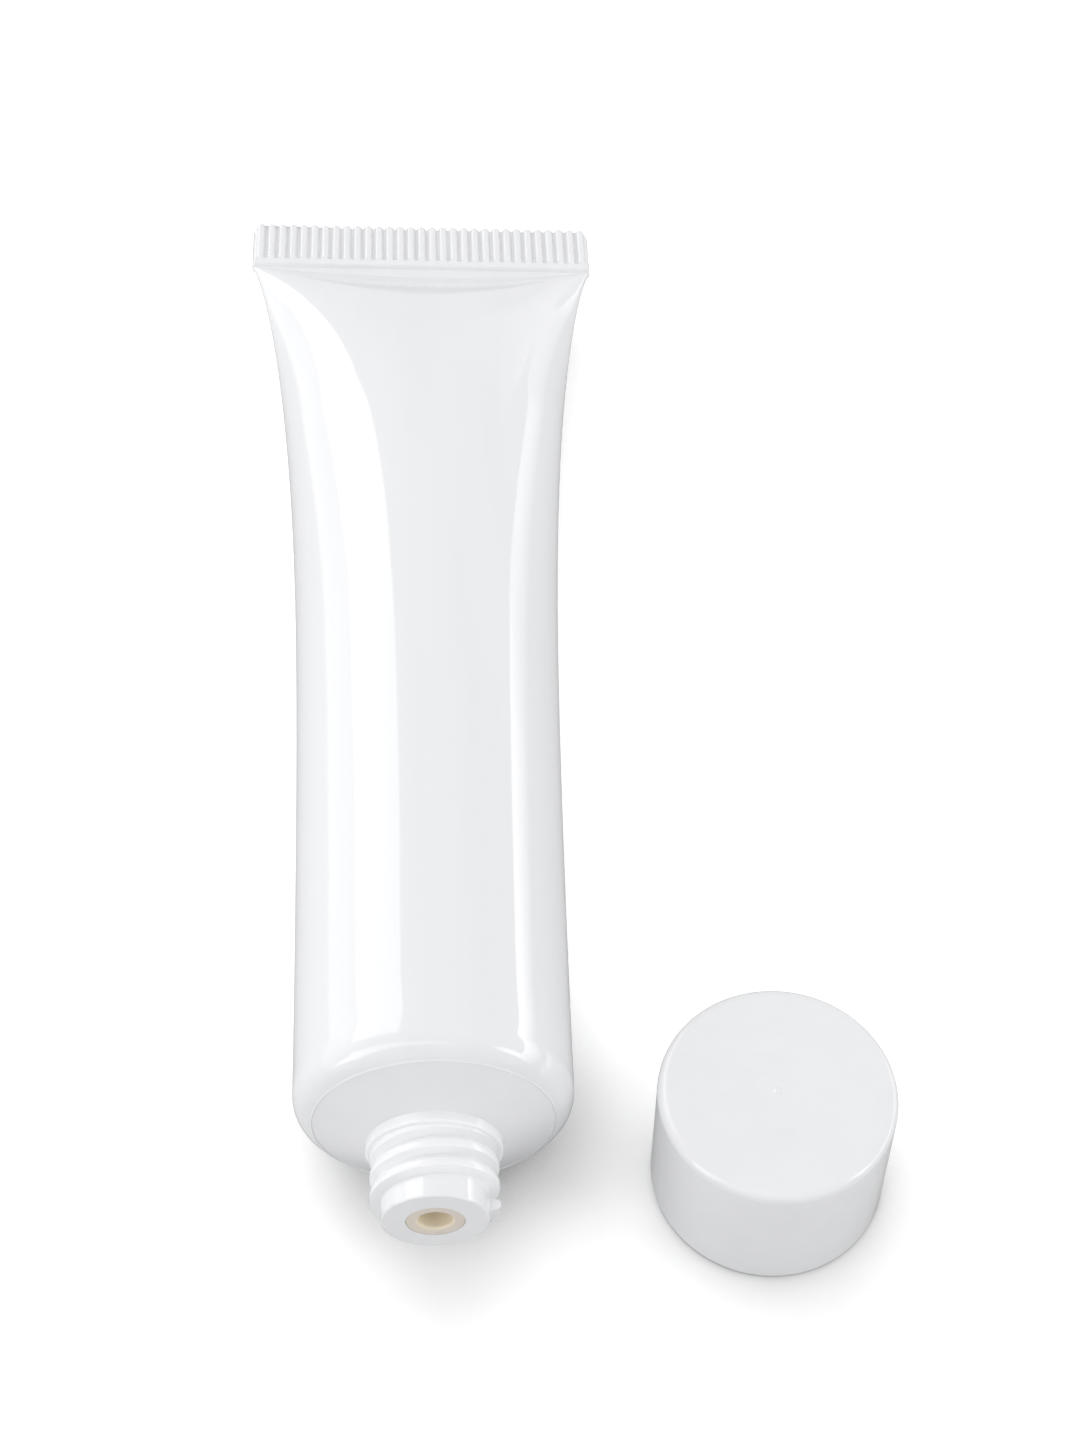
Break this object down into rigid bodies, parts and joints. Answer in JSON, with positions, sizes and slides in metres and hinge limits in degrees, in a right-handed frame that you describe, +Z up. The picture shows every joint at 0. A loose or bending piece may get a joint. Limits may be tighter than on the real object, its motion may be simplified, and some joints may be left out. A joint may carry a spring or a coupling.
{
  "type": "squeeze tube",
  "caption": "Plain white cosmetic squeeze tube with a ribbed flat tail seal, threaded neck and small round outlet, its smooth screw cap off and standing beside it.",
  "frame": {"origin": "middle of the bounding box's base, on the surface that the tube and the cap rest on", "axes": "+Z up, +Y along the tube from the neck to the sealed tail, +X across the tube towards the cap"},
  "size_m": [0.0606, 0.1284, 0.025],
  "materials": {
    "sleeve_plastic": "glossy white extruded polyethylene",
    "head_plastic": "satin to glossy white moulded polyethylene",
    "insert_plastic": "beige, slightly translucent moulded plastic",
    "cap_plastic": "glossy white moulded polypropylene"
  },
  "bodies": {
    "root": {"sleeve": "sleeve_plastic", "head": "head_plastic", "orifice_insert": "insert_plastic", "cap": "cap_plastic"}
  },
  "joints": []
}
